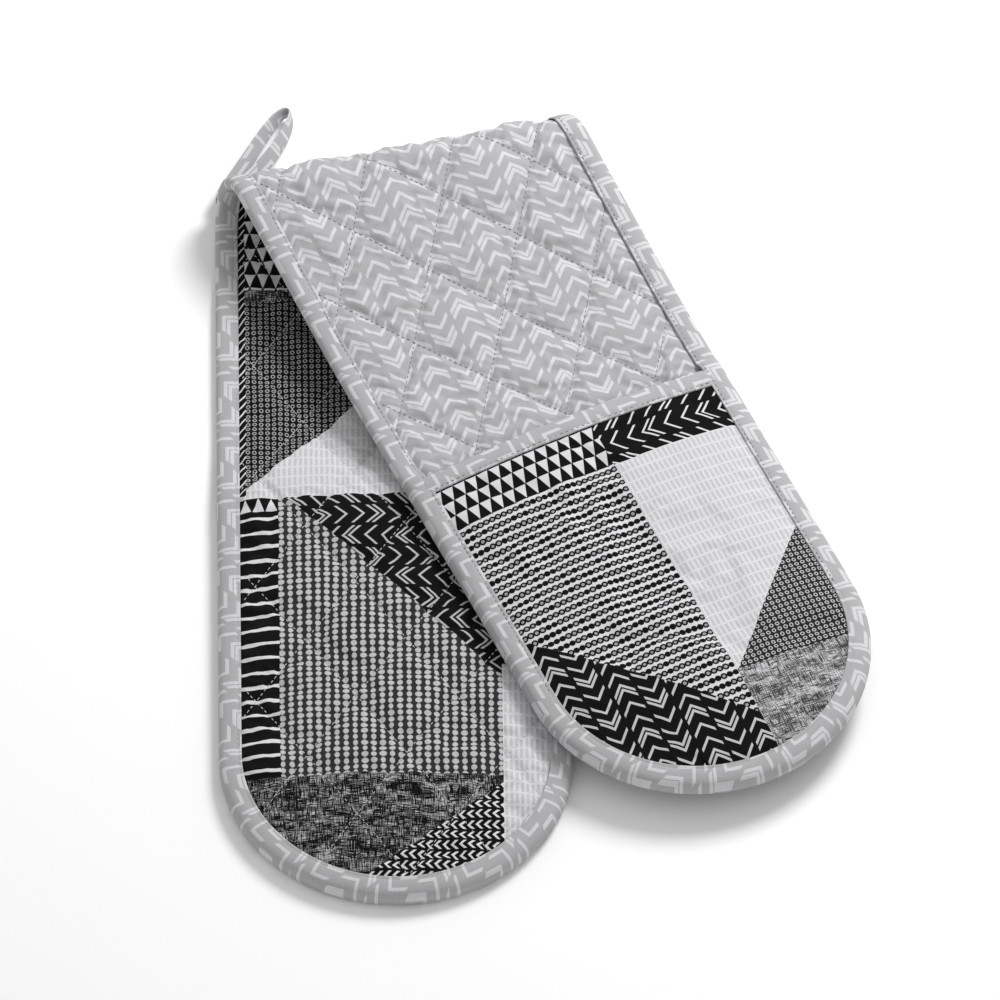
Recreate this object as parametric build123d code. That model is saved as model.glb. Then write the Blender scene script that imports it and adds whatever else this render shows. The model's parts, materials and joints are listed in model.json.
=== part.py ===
from build123d import *
import math
import os

# A quilted double oven glove: one long padded strip with a hand pocket at each end,
# folded once across its middle and laid down. The lower arm lies flat on its pocket,
# the upper arm comes back over it at a slant and rests on it.
# Millimetres and degrees. +Z is up. The lower arm runs along -Y from the fold.

# ---- driving dimensions ----
GLOVE_LENGTH = 870.0      # tip to tip when laid out flat
GLOVE_WIDTH = 170.0       # over the bound edges
FABRIC = 0.8              # each woven cotton layer
WADDING = 3.4             # heat wadding of the long strip
POCKET_WADDING = 1.4      # thinner wadding of the pockets
POCKET_DEPTH = 227.0      # from pocket mouth to tip
HAND_ROOM = 7.0           # height of the hand space at the middle of a pocket
TAPE = 1.0                # thickness of the folded binding tape on one face
TAPE_WIDTH = 11.0         # width of the binding tape on one face
THREAD = 0.5              # width of a stitch line
THREAD_DEPTH = 0.4        # how deep a stitch line is pulled into the cloth
QUILT_PITCH = 39.4        # distance between parallel quilting lines
QUILT_ANGLE = 34.8        # slant of the quilting lines to the strip's length
QUILT_CROSSING = (-43.0, -284.5)  # where two of them cross, across and along the strip

FOLD_SKEW = 12.5          # fold line against the square crossing of the strip
FOLD_OFFSET = 11.0        # fold crosses the centre line this far past mid length
FOLD_RADIUS = 19.0        # grey face of the cloth at the fold
FOLD_GAP = 0.3            # clearance between the two arms at the hinge line
NEAR_SLOPE = 8.2          # upper arm comes down from the fold at this slope
NEAR_LENGTH = 75.0        # over this length
EASE_LENGTH = 50.0        # then eases over this length
FAR_SLOPE = 1.3           # to this slope, which it keeps to its tip
RAMP_LENGTH = 60.0        # lower arm drops from its pocket to the table in this length
MOUTH_MARGIN = 0.3        # pocket binding ends this far inside the edge binding

LOOP_LENGTH = 66.0        # hanging loop, from its root to its tip
LOOP_HALF_WIDTH = 5.6     # at its widest
LOOP_TAPE = 1.6           # thickness of the loop's doubled tape
LOOP_TAPE_WIDTH = 7.0
LOOP_HEIGHT = 6.5         # middle of the loop's tape above the table
LOOP_LEAN = 44.0          # from square to the fold, towards the upper arm
LOOP_INSET = 0.6          # loop's root in from the left end of the fold
LOOP_GAP = 0.4            # between the loop and its sewn root
ROOT_LENGTH = 8.0         # sewn root, into the edge of the fold
TACK_LENGTH = 1.0         # bar tack stitch over the root

# ---- worked out from them ----
HALF_LENGTH = GLOVE_LENGTH / 2
TIP_RADIUS = GLOVE_WIDTH / 2
TIP_CENTRE = HALF_LENGTH - TIP_RADIUS
CLOTH_REACH = TIP_RADIUS - TAPE
TAPE_REACH = TIP_RADIUS - TAPE_WIDTH
BODY = 2 * FABRIC + WADDING
POCKET = 2 * FABRIC + POCKET_WADDING
MOUTH = HALF_LENGTH - POCKET_DEPTH
RAMP_END = MOUTH - RAMP_LENGTH
MID_RADIUS = FOLD_RADIUS - BODY / 2
FOLD_HEIGHT = TAPE + FOLD_RADIUS
QUARTER_LENGTH = MID_RADIUS * math.pi / 2
ARM_AWAY = Vector(-math.sin(math.radians(FOLD_SKEW)), math.cos(math.radians(FOLD_SKEW)), 0)
ALONG_FOLD = Vector(math.cos(math.radians(FOLD_SKEW)), math.sin(math.radians(FOLD_SKEW)), 0)
FOLD_POINT = Vector(0, FOLD_OFFSET, 0)
LEAN_TAN = math.tan(math.radians(FOLD_SKEW))
LOWER, UPPER = -1, 1
ROOM = 200.0              # size of cutting tools, well beyond the cloth
SECTORS = 3               # flat-sided trims along a quarter of the fold


class Height:
    """Height of one face of a layer: in the plain part, at a pocket's edge, and its crown there."""

    def __init__(self, plain, edge=None, crown=0.0):
        self.plain = plain
        self.edge = plain if edge is None else edge
        self.crown = crown

    def at(self, across):
        """Height above the table, across the arm, in the pocket part."""
        if self.crown == 0:
            return self.edge
        radius = (CLOTH_REACH**2 + self.crown**2) / (2 * abs(self.crown))
        drop = radius - math.sqrt(radius**2 - across**2)
        return self.edge + math.copysign(abs(self.crown) - drop, self.crown)


def height_edge(height, start, end):
    """The face's line across the arm, straight or arched."""
    first = (start, height.at(start))
    last = (end, height.at(end))
    if height.crown == 0:
        return Line(first, last)
    middle = (start + end) / 2
    return ThreePointArc(first, (middle, height.at(middle)), last)


def section(low, high, start, end):
    """Upright section of a layer across the arm, between two faces."""
    outline = [
        height_edge(low, start, end),
        Line((end, low.at(end)), (end, high.at(end))),
        height_edge(high, end, start),
        Line((start, high.at(start)), (start, low.at(start))),
    ]
    return Plane.XZ * make_face(outline)


def outline_prism(side, reach):
    """Everything above and below the strip's outline, at a given distance from its centre line."""
    length = TIP_CENTRE + ROOM
    strip = Pos(0, side * (TIP_CENTRE - length / 2), 0) * Box(2 * reach, length, ROOM)
    tip = Pos(0, side * TIP_CENTRE, 0) * Cylinder(reach, ROOM)
    return strip + tip


def pocket_part(side, low, high, mouth=MOUTH):
    """A layer over the pocket's length: straight from the mouth, then round the tip."""
    straight = extrude(
        Pos(0, side * mouth, 0) * section(low, high, -TIP_RADIUS, TIP_RADIUS),
        amount=TIP_CENTRE - mouth,
        dir=(0, side, 0),
    )
    half = Pos(0, side * TIP_CENTRE, 0) * section(low, high, 0, TIP_RADIUS)
    round_tip = revolve(half, axis=Axis((0, side * TIP_CENTRE, 0), (0, 0, side)), revolution_arc=180)
    return straight + round_tip


def plain_part(side, low, high, near, far):
    """A level layer between two distances from the strip's middle."""
    centre = Pos(0, side * (near + far) / 2, (low + high) / 2)
    return centre * Box(GLOVE_WIDTH, far - near, high - low)


def ramp_part(side, low, high):
    """The layer between the arched pocket part and the level part."""
    arched = Pos(0, side * MOUTH, 0) * section(low, high, -TIP_RADIUS, TIP_RADIUS)
    level = Pos(0, side * RAMP_END, 0) * section(
        Height(low.plain), Height(high.plain), -TIP_RADIUS, TIP_RADIUS
    )
    return loft([arched, level], ruled=True)


def between_rulings(start, end):
    """The part of the flat strip between two lines parallel to the fold line."""
    middle = FOLD_POINT + ARM_AWAY * ((start + end) / 2)
    return Plane(origin=middle, x_dir=ARM_AWAY, z_dir=(0, 0, 1)) * Box(end - start, 3 * ROOM, ROOM)


class Bend:
    """A stretch of the strip bent about a line parallel to the fold line."""

    def __init__(self, centre, radius, start, turn, travelled, grey_outside):
        self.centre = centre              # (away from the arc's foot, height) of the bend's axis
        self.radius = radius              # of the middle of the cloth
        self.start = start                # where the cloth starts, as an angle about the axis
        self.turn = turn                  # signed angle through which it goes
        self.travelled = travelled        # distance along the strip from the fold line at its start
        self.grey_outside = grey_outside

    def radii(self, low, high):
        """Radii of a layer between two depths below the grey face."""
        if self.grey_outside:
            return self.radius + BODY / 2 - high, self.radius + BODY / 2 - low
        return self.radius - BODY / 2 + low, self.radius - BODY / 2 + high

    def layer(self, low, high, reach, parts=SECTORS):
        inner, outer = self.radii(low, high)
        step = self.turn / parts
        pieces = [
            self.sector(inner, outer, self.start + index * step, step, reach, index * step)
            for index in range(parts)
        ]
        return Part() + pieces

    def sector(self, inner, outer, angle, step, reach, turned):
        """One sector of the bent layer, trimmed to the strip's slanting edges."""
        ring = Plane(origin=fold_point(*self.centre, 0), x_dir=ARM_AWAY, z_dir=ALONG_FOLD)
        outline = ring_sector(inner, outer, angle, angle + step)
        solid = extrude(ring * outline, amount=ROOM, both=True)
        middle = math.radians(angle + step / 2)
        forward = math.copysign(1.0, step)
        arc = self.radius * math.radians(abs(step))
        radial = fold_direction(math.cos(middle), math.sin(middle))
        tangent = fold_direction(-math.sin(middle), math.cos(middle)) * forward
        chord = tangent * (2 * self.radius * math.sin(math.radians(abs(step)) / 2))
        across = (chord + ALONG_FOLD * (arc * LEAN_TAN)).cross(radial).normalized()
        travelled = self.travelled + self.radius * math.radians(abs(turned)) + arc / 2
        place = fold_point(
            self.centre[0] + self.radius * math.cos(middle),
            self.centre[1] + self.radius * math.sin(middle),
            travelled * LEAN_TAN,
        )
        thickness = 2 * reach / math.cos(math.radians(FOLD_SKEW)) * abs(across.dot(ALONG_FOLD))
        trim = Plane(origin=place, x_dir=across, z_dir=radial) * Box(thickness, ROOM, ROOM)
        return solid & trim


def ring_sector(inner, outer, start, end):
    """Flat ring sector between two radii and two angles."""
    middle = (start + end) / 2
    outline = [
        ThreePointArc(polar(outer, start), polar(outer, middle), polar(outer, end)),
        Line(polar(outer, end), polar(inner, end)),
        ThreePointArc(polar(inner, end), polar(inner, middle), polar(inner, start)),
        Line(polar(inner, start), polar(outer, start)),
    ]
    return make_face(outline)


def polar(radius, angle):
    return (radius * math.cos(math.radians(angle)), radius * math.sin(math.radians(angle)))


def fold_direction(away, up):
    """Direction square to the fold line, given away from the arms and up."""
    return ARM_AWAY * away + Vector(0, 0, up)


def fold_point(away, height, along):
    """Point near the fold, measured from the foot of its arc, above the table and along it."""
    foot = FOLD_POINT - ARM_AWAY * QUARTER_LENGTH
    return foot + ARM_AWAY * away + ALONG_FOLD * along + Vector(0, 0, height)


def grey_side(slope):
    """Which way the grey face looks on the folded-over arm, for a heading of the cloth."""
    return (math.sin(math.radians(slope)), -math.cos(math.radians(slope)))


# The fold: a quarter turn in the lower arm, and the rest in the upper arm.
LOWER_BEND = Bend((0.0, FOLD_HEIGHT), MID_RADIUS, -90.0, 90.0, -QUARTER_LENGTH, True)
UPPER_BEND = Bend((0.0, FOLD_HEIGHT), MID_RADIUS, 0.0, 90.0 + NEAR_SLOPE, 0.0, True)
NEAR_HEADING = 180.0 + NEAR_SLOPE
FAR_HEADING = 180.0 + FAR_SLOPE
NEAR_START = MID_RADIUS * math.radians(90.0 + NEAR_SLOPE)
EASE_START = NEAR_START + NEAR_LENGTH
FAR_START = EASE_START + EASE_LENGTH
NEAR_GREY = grey_side(NEAR_HEADING)
FAR_GREY = grey_side(FAR_HEADING)
NEAR_POINT = (FOLD_RADIUS * NEAR_GREY[0], FOLD_HEIGHT + FOLD_RADIUS * NEAR_GREY[1])
EASE_POINT = (
    NEAR_POINT[0] + NEAR_LENGTH * math.cos(math.radians(NEAR_HEADING)),
    NEAR_POINT[1] + NEAR_LENGTH * math.sin(math.radians(NEAR_HEADING)),
)
EASE_RADIUS = EASE_LENGTH / math.radians(NEAR_SLOPE - FAR_SLOPE)
EASE_INNER = EASE_RADIUS - BODY / 2
EASE_CENTRE = (EASE_POINT[0] + EASE_INNER * NEAR_GREY[0], EASE_POINT[1] + EASE_INNER * NEAR_GREY[1])
FAR_POINT = (EASE_CENTRE[0] - EASE_INNER * FAR_GREY[0], EASE_CENTRE[1] - EASE_INNER * FAR_GREY[1])
EASE_BEND = Bend(
    EASE_CENTRE, EASE_RADIUS, NEAR_HEADING + 90.0, FAR_SLOPE - NEAR_SLOPE, EASE_START, False
)


def placed(shape, travelled, point, heading):
    """Turns a piece of the flat strip over the fold line and sets it down at its place."""
    start = FOLD_POINT + ARM_AWAY * travelled + Vector(0, 0, TAPE)
    turned = shape.rotate(Axis(start, ALONG_FOLD), heading)
    target = fold_point(point[0], point[1], travelled * LEAN_TAN)
    ruling = start + ALONG_FOLD * (travelled * LEAN_TAN)
    return turned.moved(Location(target - ruling))


def set_far(shape):
    """Sets a piece of the flat strip down where the upper arm's far part lies."""
    return placed(shape, FAR_START, FAR_POINT, FAR_HEADING)


# ---- layers of the long strip ----
def lower_height(depth):
    """Height in the lower arm of a surface at a depth above its grey face."""
    return Height(TAPE + depth, TAPE + POCKET + depth, HAND_ROOM)


def lower_planar(low, high, reach):
    """A layer of the lower arm as far as the foot of the fold."""
    bottom = lower_height(low)
    top = lower_height(high)
    plain = plain_part(LOWER, bottom.plain, top.plain, -ROOM / 2, RAMP_END)
    plain = plain & between_rulings(-2 * ROOM, -QUARTER_LENGTH)
    whole = pocket_part(LOWER, bottom, top) + ramp_part(LOWER, bottom, top) + plain
    return whole & outline_prism(LOWER, reach)


def upper_planar(low, high, reach):
    """A layer of the upper arm beyond the fold, the near and far level stretches."""
    plate = plain_part(UPPER, TAPE + low, TAPE + high, -ROOM / 2, HALF_LENGTH)
    plate = plate & outline_prism(UPPER, reach)
    near = placed(plate & between_rulings(NEAR_START, EASE_START), NEAR_START, NEAR_POINT, NEAR_HEADING)
    far = set_far(plate & between_rulings(FAR_START, HALF_LENGTH + ROOM))
    return near, far


def body_layer(side, low, high, reach):
    """A layer of the strip between two depths from its grey face, for one arm."""
    if side == LOWER:
        whole = lower_planar(low, high, reach) + LOWER_BEND.layer(low, high, reach)
    else:
        near, far = upper_planar(low, high, reach)
        whole = near + far + UPPER_BEND.layer(low, high, reach) + EASE_BEND.layer(low, high, reach)
    return whole - hinge_gap()


def hinge_gap():
    """Thin level slot that parts the two arms at the outermost line of the fold."""
    middle = fold_point(FOLD_RADIUS + TAPE, FOLD_HEIGHT, 0)
    return Plane(origin=middle, x_dir=ARM_AWAY, z_dir=(0, 0, 1)) * Box(FOLD_RADIUS, 2 * ROOM, FOLD_GAP)


# ---- pockets ----
def pocket_height(side, depth):
    """Height of a pocket surface, at a depth outwards from the side that the hand touches."""
    if side == LOWER:
        return Height(TAPE + POCKET - depth)
    return Height(TAPE - depth, TAPE - depth, -HAND_ROOM)


def pocket_slab(side, inner, outer, reach, mouth=MOUTH):
    """A pocket layer between two depths, laid out flat."""
    slab = pocket_part(side, pocket_height(side, outer), pocket_height(side, inner), mouth)
    return slab & outline_prism(side, reach)


def pocket_layer(side, inner, outer):
    flat = pocket_slab(side, inner, outer, CLOTH_REACH)
    return flat if side == LOWER else set_far(flat)


def mouth_tape(side):
    """Binding round the pocket's mouth, laid out flat, ending inside the edge binding."""
    reach = TAPE_REACH - MOUTH_MARGIN
    whole = pocket_slab(side, -TAPE, POCKET + TAPE, reach, MOUTH - TAPE)
    band = Pos(0, side * (MOUTH - TAPE + TAPE_WIDTH / 2), 0) * Box(2 * reach, TAPE_WIDTH, ROOM)
    return (whole & band) - pocket_slab(side, 0, POCKET, TIP_RADIUS)


def mouth_stitches(side):
    """Stitch line in the outer face of the mouth's binding, laid out flat."""
    skin = pocket_slab(side, POCKET + TAPE - THREAD_DEPTH, POCKET + TAPE, TAPE_REACH - 2 * TAPE)
    line = Pos(0, side * (MOUTH + TAPE_WIDTH - 3 * TAPE), 0) * Box(GLOVE_WIDTH, THREAD, ROOM)
    return skin & line


# ---- edge binding ----
def pocket_envelope(side, inset, reach):
    """The pocket end of an arm, whole, shrunk by an inset from its upper and lower faces."""
    if side == LOWER:
        low = Height(inset)
        high = lower_height(BODY + TAPE - inset)
    else:
        low = pocket_height(side, POCKET + TAPE - inset)
        high = Height(TAPE + BODY + TAPE - inset)
    return pocket_part(side, low, high) & outline_prism(side, reach)


def plain_envelope(side, inset, reach):
    """The rest of the arm with its binding, shrunk by an inset, without the pocket end."""
    whole = body_layer(side, -TAPE + inset, BODY + TAPE - inset, reach)
    beyond = Pos(0, side * (MOUTH + ROOM), 0) * Box(2 * ROOM, 2 * ROOM, 2 * ROOM)
    if side == LOWER:
        return whole - beyond
    return whole - set_far(beyond)


def envelope(side, inset, reach):
    pocket_end = pocket_envelope(side, inset, reach)
    if side == UPPER:
        pocket_end = set_far(pocket_end)
    return pocket_end, plain_envelope(side, inset, reach)


def edge_tape(side):
    """Binding tape folded round the arm's whole edge."""
    outer = envelope(side, 0, TIP_RADIUS)
    core = envelope(side, TAPE, CLOTH_REACH)
    middle = envelope(side, -TAPE, TAPE_REACH)
    parts = [shell - filling - inner for shell, filling, inner in zip(outer, core, middle)]
    return parts[0] + parts[1]


def edge_stitches(side):
    """Stitch lines along the inner margin of the edge binding, on both faces."""
    outer_line = TAPE_REACH + 2 * TAPE
    outer = envelope(side, 0, outer_line)
    inner = envelope(side, -TAPE, outer_line - THREAD)
    core = envelope(side, THREAD_DEPTH, outer_line + TAPE)
    return [shell - filling - middle for shell, filling, middle in zip(outer, core, inner)]


# ---- quilting ----
def quilting_blades(side):
    """Upright blades along the quilting lines that cross one arm of the flat strip, as one lattice."""
    blades = []
    reach = HALF_LENGTH / 2 * math.sin(math.radians(QUILT_ANGLE)) + TIP_RADIUS
    for slant in (-QUILT_ANGLE, QUILT_ANGLE):
        square = Vector(math.cos(math.radians(slant)), math.sin(math.radians(slant)), 0)
        to_middle = Vector(-QUILT_CROSSING[0], side * HALF_LENGTH / 2 - QUILT_CROSSING[1], 0).dot(square)
        first = math.ceil((to_middle - reach) / QUILT_PITCH)
        last = math.floor((to_middle + reach) / QUILT_PITCH)
        for index in range(first, last + 1):
            blade = Pos(index * QUILT_PITCH, 0, 0) * Box(THREAD, 8 * ROOM, ROOM / 2)
            blades.append(Pos(QUILT_CROSSING[0], QUILT_CROSSING[1], 0) * Rot(0, 0, slant) * blade)
    return Part() + blades


def quilting(side):
    """Quilting thread sunk in the grey face and in the printed face, where the cloth isn't bent."""
    blades = quilting_blades(side)
    reach = TAPE_REACH - MOUTH_MARGIN
    lines = []
    for low, high in ((0, THREAD_DEPTH), (BODY - THREAD_DEPTH, BODY)):
        if side == LOWER:
            lines.append(lower_planar(low, high, reach) & blades)
        else:
            plate = plain_part(UPPER, TAPE + low, TAPE + high, -ROOM / 2, HALF_LENGTH)
            lattice = plate & outline_prism(UPPER, reach) & blades
            near = lattice & between_rulings(NEAR_START, EASE_START)
            lines.append(placed(near, NEAR_START, NEAR_POINT, NEAR_HEADING))
            lines.append(set_far(lattice & between_rulings(FAR_START, HALF_LENGTH + ROOM)))
    return lines


# ---- hanging loop ----
def loop_frame():
    """Plane of the loop, at its root, with its length along local X."""
    left_end = -TIP_RADIUS / math.cos(math.radians(FOLD_SKEW))
    root = fold_point(FOLD_RADIUS + TAPE, LOOP_HEIGHT, left_end + LOOP_INSET)
    lean = math.radians(LOOP_LEAN)
    heading = ARM_AWAY * math.cos(lean) + ALONG_FOLD * math.sin(lean)
    return Plane(origin=root, x_dir=heading, z_dir=(0, 0, 1))


def leaf(inset):
    """Leaf-shaped outline of the loop, shrunk by an inset."""
    half = LOOP_LENGTH / 2 - 2 * inset
    width = LOOP_HALF_WIDTH - inset
    upper = ThreePointArc((0, 0), (half, width), (2 * half, 0))
    lower = ThreePointArc((2 * half, 0), (half, -width), (0, 0))
    return Pos(2 * inset, 0, 0) * make_face([upper, lower])


def hanging_loop():
    """Free part of the loop: narrow tape on edge, bent round to a leaf shape, with a rounded foot."""
    outer = extrude(leaf(0), amount=LOOP_TAPE_WIDTH / 2, both=True)
    eye = extrude(leaf(LOOP_TAPE), amount=LOOP_TAPE_WIDTH, both=True)
    narrow_end = Pos(2 * LOOP_TAPE - LOOP_LENGTH / 2, 0, 0) * Box(LOOP_LENGTH, GLOVE_WIDTH, ROOM)
    foot = Pos(LOOP_TAPE, 0, 0) * Box(2 * LOOP_TAPE, 2 * LOOP_TAPE, LOOP_TAPE_WIDTH)
    heel = Cylinder(LOOP_TAPE, LOOP_TAPE_WIDTH)
    return loop_frame() * (outer - eye - narrow_end + foot + heel)


def at_root(back):
    """Plane of the loop's sewn root, square to the fold, set back from the loop's heel."""
    middle = loop_frame().origin - ARM_AWAY * (LOOP_TAPE + LOOP_GAP + back)
    return Plane(origin=middle, x_dir=ARM_AWAY, z_dir=(0, 0, 1))


def loop_root():
    """Sewn ends of the loop's tape, standing out of the edge binding at the fold."""
    whole = at_root(ROOT_LENGTH / 2) * Box(ROOT_LENGTH, 2 * LOOP_TAPE, LOOP_TAPE_WIDTH)
    return whole - LOWER_BEND.layer(-TAPE, BODY + TAPE, TIP_RADIUS)


def bar_tack(root):
    """Close stitches that hold the loop's root, as short bars sunk in the sides of its tape."""
    bars = []
    for row in (-1, 0, 1):
        bar = Pos(0, 0, row * 2 * THREAD) * Box(TACK_LENGTH, 4 * LOOP_TAPE, THREAD)
        bars.append((at_root(TACK_LENGTH) * bar) & root)
    return bars


# ---- assembly ----
def build_arm(side, name):
    """All pieces of one arm, by node name."""
    quilt = quilting(side)
    grey = body_layer(side, 0, FABRIC, CLOTH_REACH) - quilt
    wadding = body_layer(side, FABRIC, FABRIC + WADDING, CLOTH_REACH)
    printed = body_layer(side, FABRIC + WADDING, BODY, CLOTH_REACH) - quilt
    stitches = edge_stitches(side)
    mouth_line = mouth_stitches(side)
    mouth = mouth_tape(side) - mouth_line
    if side == UPPER:
        mouth = set_far(mouth)
        mouth_line = set_far(mouth_line)
    return {
        name + "_grey_panel": grey,
        name + "_wadding": wadding,
        name + "_print_panel": printed,
        name + "_pocket_lining": pocket_layer(side, 0, FABRIC),
        name + "_pocket_wadding": pocket_layer(side, FABRIC, FABRIC + POCKET_WADDING),
        name + "_pocket_face": pocket_layer(side, FABRIC + POCKET_WADDING, POCKET),
        name + "_pocket_binding": mouth,
        name + "_edge_binding": edge_tape(side) - stitches,
        name + "_quilting_thread": quilt,
        name + "_edge_thread": stitches,
        name + "_pocket_thread": mouth_line,
    }


def solids_of(shape):
    shapes = shape if isinstance(shape, list) else [shape]
    return [solid for item in shapes for solid in item.solids()]


def build_all():
    pieces = {**build_arm(LOWER, "lower"), **build_arm(UPPER, "upper")}
    root = loop_root()
    tack = bar_tack(root)
    pieces["loop_root"] = root - tack
    pieces["loop_bar_tack"] = tack
    pieces["hanging_loop"] = hanging_loop()
    return {name: Compound(solids_of(shape)) for name, shape in pieces.items()}


def main():
    os.makedirs("parts", exist_ok=True)
    pieces = build_all()
    box = Compound([solid for piece in pieces.values() for solid in piece.solids()]).bounding_box()
    centre = Vector((box.min.X + box.max.X) / 2, (box.min.Y + box.max.Y) / 2, box.min.Z)
    for name, piece in pieces.items():
        export_step(piece.moved(Location(-centre)), f"parts/{name}.step")
    hinge = fold_point(FOLD_RADIUS + TAPE, FOLD_HEIGHT, 0) - centre
    print("size", box.size)
    print("fold hinge at", hinge, "along", ALONG_FOLD)
    print("loop hinge at", loop_frame().origin - centre)
    print("flat strip's middle at", -centre)


main()
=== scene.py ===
import json
import math

import bpy
import numpy as np
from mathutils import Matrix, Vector
from mathutils.bvhtree import BVHTree


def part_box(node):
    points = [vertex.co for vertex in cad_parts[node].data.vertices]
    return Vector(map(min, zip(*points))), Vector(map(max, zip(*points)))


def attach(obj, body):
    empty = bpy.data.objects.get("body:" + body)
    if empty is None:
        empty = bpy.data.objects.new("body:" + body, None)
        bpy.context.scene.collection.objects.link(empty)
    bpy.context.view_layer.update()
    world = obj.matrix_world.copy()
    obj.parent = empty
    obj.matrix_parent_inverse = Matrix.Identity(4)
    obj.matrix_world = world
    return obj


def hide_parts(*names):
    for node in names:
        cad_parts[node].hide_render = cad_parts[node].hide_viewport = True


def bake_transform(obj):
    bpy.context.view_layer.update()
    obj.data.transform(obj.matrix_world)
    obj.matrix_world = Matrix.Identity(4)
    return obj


# A quilted double oven glove, folded once across its middle and laid down. Metres, in the CAD's frame.
# Each cloth piece is made on the strip laid out flat: T across it, S along it (the lower arm has
# negative S, the upper arm positive S) and D, the height above the strip's grey face. lay() then
# folds the strip and lays it down as the CAD part lies.

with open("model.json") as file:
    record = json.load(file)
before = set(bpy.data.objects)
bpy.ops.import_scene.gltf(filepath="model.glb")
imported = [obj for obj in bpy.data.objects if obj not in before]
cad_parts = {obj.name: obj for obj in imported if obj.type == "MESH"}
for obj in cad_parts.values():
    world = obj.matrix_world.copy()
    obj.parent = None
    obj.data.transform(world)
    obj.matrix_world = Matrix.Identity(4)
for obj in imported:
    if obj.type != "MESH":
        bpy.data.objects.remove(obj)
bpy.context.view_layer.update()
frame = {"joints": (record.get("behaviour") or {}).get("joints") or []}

MM = 0.001

# ---- the strip, as in the CAD part ----
TIP_RADIUS = 85 * MM
TIP_CENTRE = 350 * MM
MOUTH = 208 * MM  # pocket's mouth, from the strip's middle
BODY = 5 * MM  # long strip's thickness without its bindings
POCKET = 3 * MM  # pocket's thickness
TAPE = 1 * MM  # binding tape's thickness on one face
TAPE_WIDTH = 11 * MM  # binding tape's width on one face
CROWN = 7 * MM  # hand room's height at its middle
CROWN_REACH = 84 * MM
RAMP_END = 148 * MM  # lower arm comes down from its pocket between the mouth and here
FOLD_OFFSET = 11 * MM
FOLD_RADIUS = 19 * MM  # grey face at the fold
MID_RADIUS = FOLD_RADIUS - BODY / 2
FOLD_HEIGHT = FOLD_RADIUS + TAPE
QUARTER = MID_RADIUS * math.pi / 2
NEAR_SLOPE = math.radians(8.2)
NEAR_LENGTH = 75 * MM
EASE_LENGTH = 50 * MM
FAR_SLOPE = math.radians(1.3)
QUILT_PITCH = 39.4 * MM
QUILT_ANGLE = math.radians(34.8)
QUILT_CROSSING = (-43 * MM, -284.5 * MM)

# ---- what the CAD part leaves plain ----
COVER_REACH = 79 * MM  # cloth covers end this far from the centre line, under the binding
EDGE_SEAM = 75.8 * MM  # the covers are held down here, from the centre line
GRID = 2.6 * MM  # mesh pitch before it is doubled
GROOVE = 1.2 * MM  # a sewn line lies this far below the cloth's face
GREY_PUFF = 2.3 * MM  # wadding lifts the cloth this much above its sewn lines
PRINT_PUFF = 1.3 * MM
POCKET_PUFF = 1.0 * MM
SOFT_EDGE = 6.5 * MM  # distance from a sewn line over which the cloth rises
FOLD_START = -26 * MM  # the piece that lies over the fold, along the strip
FOLD_END = 48 * MM
BEND_LOW = 12 * MM  # two heights over the fold's hinge
BEND_HIGH = 28 * MM
PRESSED = 0.15  # share that is left of what would go below the table
PUCKER = 0.22 * MM  # creases beside the sewn lines, and their size along the cloth
PUCKER_SIZE = 4.5 * MM
LUMP = 0.12 * MM  # slow unevenness of the wadding
LUMP_SIZE = 17 * MM
TAPE_SEAM = 9.3 * MM  # the bindings' stitch lines, from their folded edge
SEAM_DIP = 0.42 * MM  # the thread draws the binding in this far
TAPE_WRINKLE = 0.25 * MM
STITCH = 2.1 * MM  # thread that shows between two needle holes
STITCH_PITCH = 2.9 * MM
THREAD = 0.42 * MM  # thread's diameter

# ---- cloth simulation: pressure, extra cloth, and the most that it may move ----
SIM_FRAMES = 16
COVER_SIM = (1.0, 0.03, 1.2 * MM)
POCKET_SIM = (0.6, 0.012, 1.0 * MM)

# ---- hanging loop ----
LOOP_LENGTH = 66 * MM
LOOP_HALF_WIDTH = 4.6 * MM
LOOP_TAPE = 1.5 * MM  # its doubled tape's thickness
LOOP_TAPE_WIDTH = 7.4 * MM
LOOP_HEEL = 0.8 * MM  # its two ends lie this far each side of the hinge
LOOP_BOW = 3 * MM  # it bends this far to the right on its way
LOOP_LEAN = 1.05  # angle by which its tape leans out
LOOP_ON_EDGE = 6 * MM  # the tape stands on edge up to about here from the hinge
ROOT_CLEARANCE = 1.8 * MM  # between the hinge and the sewn root, so the loop can swing
TACK_ROUNDS = 5

hinge = next(joint for joint in frame["joints"] if joint["name"] == "centre_fold")
swing = next(joint for joint in frame["joints"] if joint["name"] == "loop_swing")
ALONG = -np.array(hinge["axis"])
AWAY = np.array([-ALONG[1], ALONG[0], 0.0])
SKEW = math.atan2(ALONG[1], ALONG[0])
MIDDLE = np.array(hinge["pos_m"]) - AWAY * (FOLD_HEIGHT - QUARTER)
MIDDLE -= np.array([0.0, FOLD_OFFSET, FOLD_HEIGHT])


# ---- laying the strip down ----
def smooth(value, low, high):
    """0 below low, 1 above high, and a smooth rise between."""
    share = np.clip((value - low) / (high - low), 0, 1)
    return share * share * (3 - 2 * share)


def noise(x, y, scale, seed):
    """Smooth random values from -1 to 1 over the plane, with lumps of one scale."""
    table = np.random.default_rng(seed).uniform(-1, 1, (64, 64))
    u, v = x / scale, y / scale
    i, j = np.floor(u).astype(int), np.floor(v).astype(int)
    a, b = u - i, v - j
    a, b = a * a * (3 - 2 * a), b * b * (3 - 2 * b)
    low = table[i % 64, j % 64] * (1 - a) + table[(i + 1) % 64, j % 64] * a
    high = table[i % 64, (j + 1) % 64] * (1 - a) + table[(i + 1) % 64, (j + 1) % 64] * a
    return low * (1 - b) + high * b


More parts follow.
